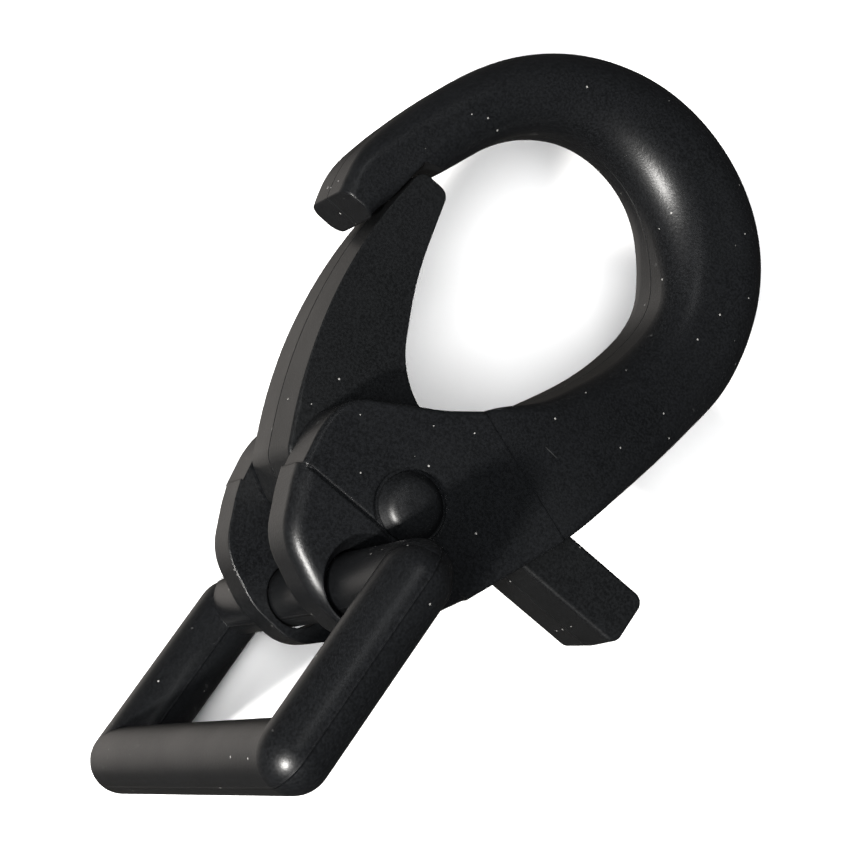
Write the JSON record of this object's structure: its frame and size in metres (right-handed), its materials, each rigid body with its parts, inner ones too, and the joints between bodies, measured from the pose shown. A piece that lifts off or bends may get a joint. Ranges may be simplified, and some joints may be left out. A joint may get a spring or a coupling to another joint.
{
  "type": "gate snap hook with strap loop",
  "caption": "Moulded plastic snap hook with a sprung thumb gate on a riveted pivot and a captive rectangular strap loop that swivels in the fork.",
  "frame": {"origin": "centre of the strap loop's lower bar, where the webbing turns", "axes": "+Y along the hook from the strap loop to the top of the bow, +Z along the gate's pivot out of the face with the domed rivet head, +X towards the side the thumb tail sticks out of"},
  "size_m": [0.0324, 0.0575, 0.035],
  "materials": {
    "body_plastic": "satin, fine moulded grain",
    "gate_plastic": "satin, fine moulded grain",
    "rivet_plastic": "satin",
    "loop_plastic": "semi-gloss",
    "spring_steel": "drawn wire"
  },
  "bodies": {
    "hook": {"hook_body": "body_plastic", "pivot_rivet": "rivet_plastic", "gate_spring": "spring_steel"},
    "gate": {"gate_lever": "gate_plastic"},
    "loop": {"strap_loop": "loop_plastic"}
  },
  "joints": [
    {"name": "gate_pivot", "type": "hinge", "parent": "hook", "child": "gate", "pos_m": [-0.0003, 0.0185, 0], "axis": [0, 0, -1], "range_deg": [0, 24], "stiffness_Nm_per_rad": 0.08, "springref_deg": -28.65, "deforming": ["gate_spring"]},
    {"name": "strap_swivel", "type": "hinge", "parent": "hook", "child": "loop", "pos_m": [0, 0.0129, 0], "axis": [0, 0, 1], "range_deg": [-100, 80]}
  ]
}
